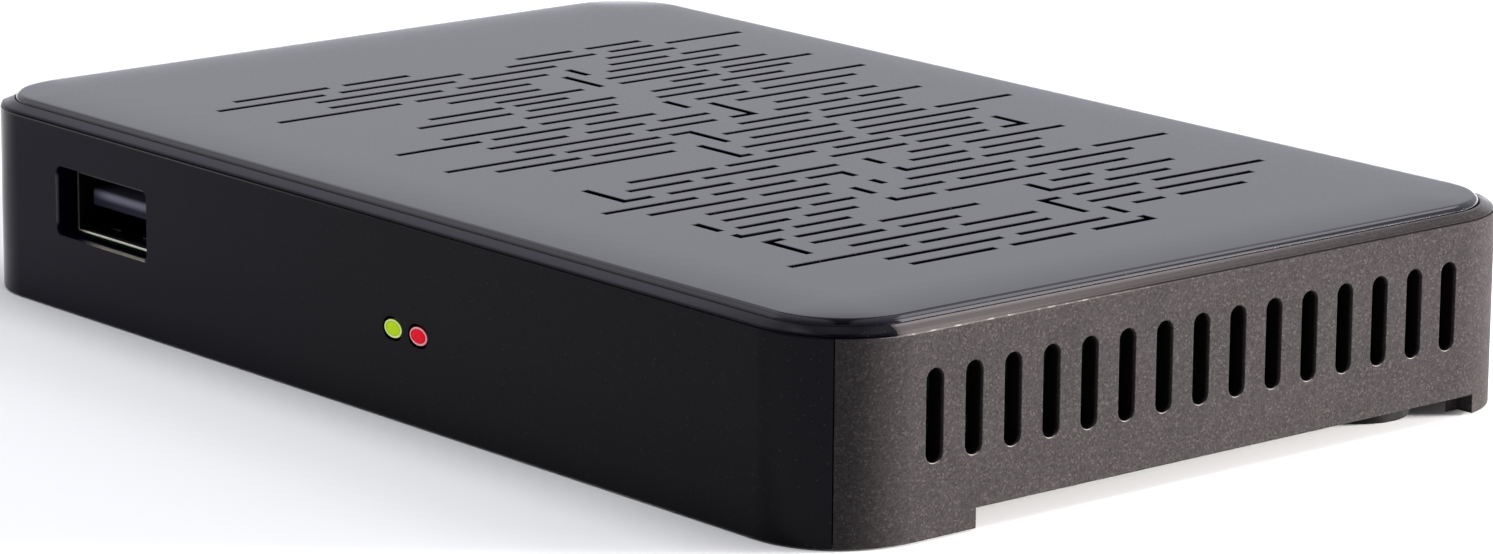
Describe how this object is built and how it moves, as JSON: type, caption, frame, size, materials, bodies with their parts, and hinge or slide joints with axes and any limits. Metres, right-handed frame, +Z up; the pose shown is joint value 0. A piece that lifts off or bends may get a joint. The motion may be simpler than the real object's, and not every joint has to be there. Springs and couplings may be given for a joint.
{
  "type": "terrestrial tv receiver",
  "caption": "Flat desktop set-top box for terrestrial television: slitted gloss cover, slotted side walls, USB and status lights in front, antenna, HDMI, audio-video and power sockets behind.",
  "frame": {"origin": "on the desk, in the middle of the whole part's outline seen from above, antenna barrel included", "axes": "+X to the right seen from the front, +Y from the front panel towards the rear, +Z up"},
  "size_m": [0.138, 0.0986, 0.0206],
  "materials": {
    "case_taupe": "moulded satin with fine metallic flecks",
    "gloss_black": "polished gloss black",
    "foot_rubber": "matte",
    "screw_steel": "zinc plated",
    "board_laminate": "green solder mask",
    "chip_resin": "moulded epoxy, fine grain",
    "pad_silicone": "matte",
    "sink_aluminium": "black anodised",
    "tinned_steel": "tinned sheet",
    "coil_resin": "pressed ferrite powder",
    "capacitor_can": "bright can",
    "chip_ceramic": "fired ceramic",
    "lens_green": "tinted diffused epoxy",
    "lens_red": "tinted diffused epoxy",
    "socket_blue_grey": "moulded satin",
    "contact_gold": "gold flashed",
    "barrel_nickel": "bright nickel plate",
    "insulator_ivory": "moulded satin",
    "socket_black": "moulded satin"
  },
  "bodies": {
    "root": {"lower_case": "case_taupe", "front_panel": "gloss_black", "top_cover": "gloss_black", "rubber_feet": "foot_rubber", "case_screws": "screw_steel", "main_board": "board_laminate", "board_screws": "screw_steel", "processor": "chip_resin", "thermal_pad": "pad_silicone", "heat_sink": "sink_aluminium", "flash_chip": "chip_resin", "crystal": "tinned_steel", "regulators": "chip_resin", "inductors": "coil_resin", "electrolytic_capacitors": "capacitor_can", "chip_capacitors": "chip_ceramic", "led_green": "lens_green", "led_red": "lens_red", "led_leads": "tinned_steel", "ir_receiver": "chip_resin", "usb_shell": "tinned_steel", "usb_tongue": "socket_blue_grey", "usb_contacts": "contact_gold", "tuner_can": "tinned_steel", "tuner_lid": "tinned_steel", "tuner_chip": "chip_resin", "antenna_barrel": "barrel_nickel", "antenna_insulator": "insulator_ivory", "antenna_contact": "contact_gold", "hdmi_shell": "tinned_steel", "hdmi_tongue": "socket_black", "hdmi_contacts": "contact_gold", "av_jack_body": "socket_black", "av_jack_contacts": "contact_gold", "power_inlet_body": "socket_black", "power_inlet_pin": "barrel_nickel", "power_inlet_contacts": "contact_gold"}
  },
  "joints": []
}
